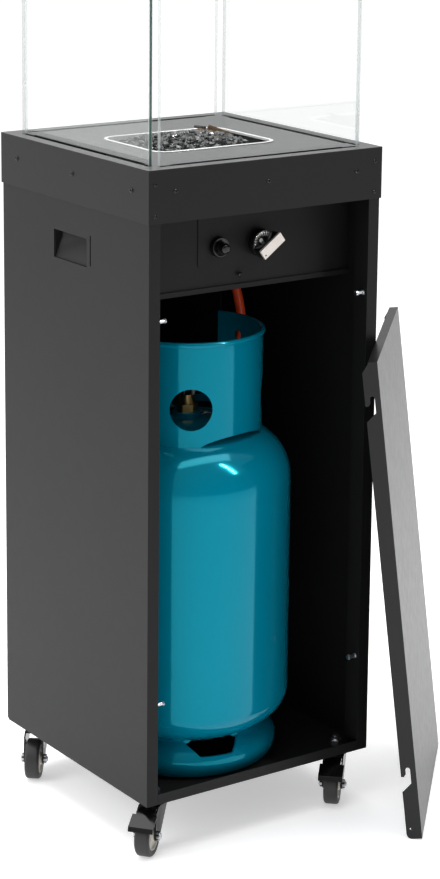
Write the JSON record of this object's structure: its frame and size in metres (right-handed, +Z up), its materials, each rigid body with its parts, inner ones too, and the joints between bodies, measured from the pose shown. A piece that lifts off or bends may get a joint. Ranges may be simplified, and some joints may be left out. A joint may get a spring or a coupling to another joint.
{
  "type": "outdoor gas heater",
  "caption": "Square outdoor gas heater: a dark cabinet on casters with controls, a blue gas bottle inside, its lift-off door leaning on it, and an open glass tower round the burner.",
  "frame": {"origin": "on the ground under the middle of the whole object's box, the leaning door included", "axes": "+Z up, -Y out of the cabinet's open front, +X to the right of someone facing the front"},
  "size_m": [0.6292, 0.5494, 1.31],
  "materials": {
    "coated_steel": "powder coated, dark grey",
    "door_coating": "powder coated, dark grey",
    "stainless": "bright",
    "tempered_glass": "clear",
    "black_stone": "glossy chips",
    "black_plastic": "gloss black",
    "black_coating": "gloss black",
    "chrome": "polished",
    "satin_metal": "satin",
    "brass": "machined",
    "zinc": "zinc plated",
    "bottle_paint": "gloss teal blue",
    "hose_rubber": "smooth orange red",
    "tyre_rubber": "matt black",
    "hub_plastic": "cream grey",
    "ceramic": "glazed white",
    "copper": "dull"
  },
  "bodies": {
    "cabinet": {"left_side_panel": "coated_steel", "right_side_panel": "coated_steel", "grip_pocket_left": "coated_steel", "grip_pocket_right": "coated_steel", "back_panel": "coated_steel", "base_plate": "coated_steel", "hood": "coated_steel", "glass_seat": "coated_steel", "control_panel": "coated_steel", "control_escutcheon": "coated_steel", "burner_tray": "stainless", "burner_tube": "stainless", "pilot_hood": "stainless", "glass_front": "tempered_glass", "glass_back": "tempered_glass", "glass_left": "tempered_glass", "glass_right": "tempered_glass", "stone_bed": "black_stone", "ignition_electrode": "ceramic", "flame_sensor": "copper", "burner_feed_pipe": "copper", "igniter_housing": "black_plastic", "gas_regulator": "satin_metal", "gas_valve": "brass", "bottle_valve": "brass", "hose_nut_valve": "brass", "hose_nut_regulator": "brass", "door_stud_left_high": "zinc", "door_stud_left_low": "zinc", "door_stud_right_high": "zinc", "door_stud_right_low": "zinc", "bottle_body": "bottle_paint", "bottle_collar": "bottle_paint", "bottle_foot_ring": "bottle_paint", "gas_hose": "hose_rubber", "caster_fl_stem": "zinc", "caster_fr_stem": "zinc", "caster_bl_stem": "zinc", "caster_br_stem": "zinc"},
    "swivel_front_left": {"caster_fl_fork": "black_coating"},
    "wheel_front_left": {"caster_fl_tyre": "tyre_rubber", "caster_fl_hub": "hub_plastic"},
    "brake_front_left": {"caster_fl_brake_pedal": "black_coating"},
    "swivel_front_right": {"caster_fr_fork": "black_coating"},
    "wheel_front_right": {"caster_fr_tyre": "tyre_rubber", "caster_fr_hub": "hub_plastic"},
    "brake_front_right": {"caster_fr_brake_pedal": "black_coating"},
    "swivel_back_left": {"caster_bl_fork": "black_coating"},
    "wheel_back_left": {"caster_bl_tyre": "tyre_rubber", "caster_bl_hub": "hub_plastic"},
    "swivel_back_right": {"caster_br_fork": "black_coating"},
    "wheel_back_right": {"caster_br_tyre": "tyre_rubber", "caster_br_hub": "hub_plastic"},
    "spindle": {"valve_spindle": "zinc"},
    "knob": {"knob_base": "black_plastic", "knob_dial": "chrome", "knob_handle": "satin_metal"},
    "igniter": {"igniter_button": "black_plastic"},
    "handwheel": {"valve_handwheel": "black_plastic"},
    "door": {"door_panel": "door_coating"}
  },
  "joints": [
    {"name": "swivel_front_left", "type": "hinge", "parent": "cabinet", "child": "swivel_front_left", "pos_m": [-0.2551, -0.0808, 0.07], "axis": [0, 0, 1], "continuous": true},
    {"name": "wheel_front_left", "type": "hinge", "parent": "swivel_front_left", "child": "wheel_front_left", "pos_m": [-0.27686, -0.09842, 0.03], "axis": [0.6293, -0.7771, 0], "continuous": true},
    {"name": "brake_front_left", "type": "hinge", "parent": "swivel_front_left", "child": "brake_front_left", "pos_m": [-0.27647, -0.09811, 0.0655], "axis": [0.6293, -0.7771, 0], "range_deg": [0, 5]},
    {"name": "swivel_front_right", "type": "hinge", "parent": "cabinet", "child": "swivel_front_right", "pos_m": [0.0659, -0.0808, 0.07], "axis": [0, 0, 1], "continuous": true},
    {"name": "wheel_front_right", "type": "hinge", "parent": "swivel_front_right", "child": "wheel_front_right", "pos_m": [0.04645, -0.10094, 0.03], "axis": [0.7193, -0.6947, 0], "continuous": true},
    {"name": "brake_front_right", "type": "hinge", "parent": "swivel_front_right", "child": "brake_front_right", "pos_m": [0.0468, -0.10058, 0.0655], "axis": [0.7193, -0.6947, 0], "range_deg": [0, 5]},
    {"name": "swivel_back_left", "type": "hinge", "parent": "cabinet", "child": "swivel_back_left", "pos_m": [-0.2551, 0.2402, 0.07], "axis": [0, 0, 1], "continuous": true},
    {"name": "wheel_back_left", "type": "hinge", "parent": "swivel_back_left", "child": "wheel_back_left", "pos_m": [-0.2731, 0.21875, 0.03], "axis": [0.766, -0.6428, 0], "continuous": true},
    {"name": "swivel_back_right", "type": "hinge", "parent": "cabinet", "child": "swivel_back_right", "pos_m": [0.0659, 0.2402, 0.07], "axis": [0, 0, 1], "continuous": true},
    {"name": "wheel_back_right", "type": "hinge", "parent": "swivel_back_right", "child": "wheel_back_right", "pos_m": [0.04542, 0.2211, 0.03], "axis": [0.682, -0.7314, 0], "continuous": true},
    {"name": "knob_push", "type": "slide", "parent": "cabinet", "child": "spindle", "axis": [0, 1, 0], "range_m": [0, 0.004], "stiffness_N_per_m": 900},
    {"name": "knob_turn", "type": "hinge", "parent": "spindle", "child": "knob", "pos_m": [-0.0636, -0.0471, 0.845], "axis": [0, -1, 0], "range_deg": [0, 180]},
    {"name": "igniter_push", "type": "slide", "parent": "cabinet", "child": "igniter", "axis": [0, 1, 0], "range_m": [0, 0.005], "stiffness_N_per_m": 600},
    {"name": "bottle_valve_turn", "type": "hinge", "parent": "cabinet", "child": "handwheel", "pos_m": [-0.1216, 0.0397, 0.6003], "axis": [0, 0, 1], "range_deg": [0, 1080]},
    {"name": "door_pull_away", "type": "slide", "parent": "cabinet", "child": "door", "axis": [0.7266, -0.6871, 0], "range_m": [0, 0.3]}
  ]
}
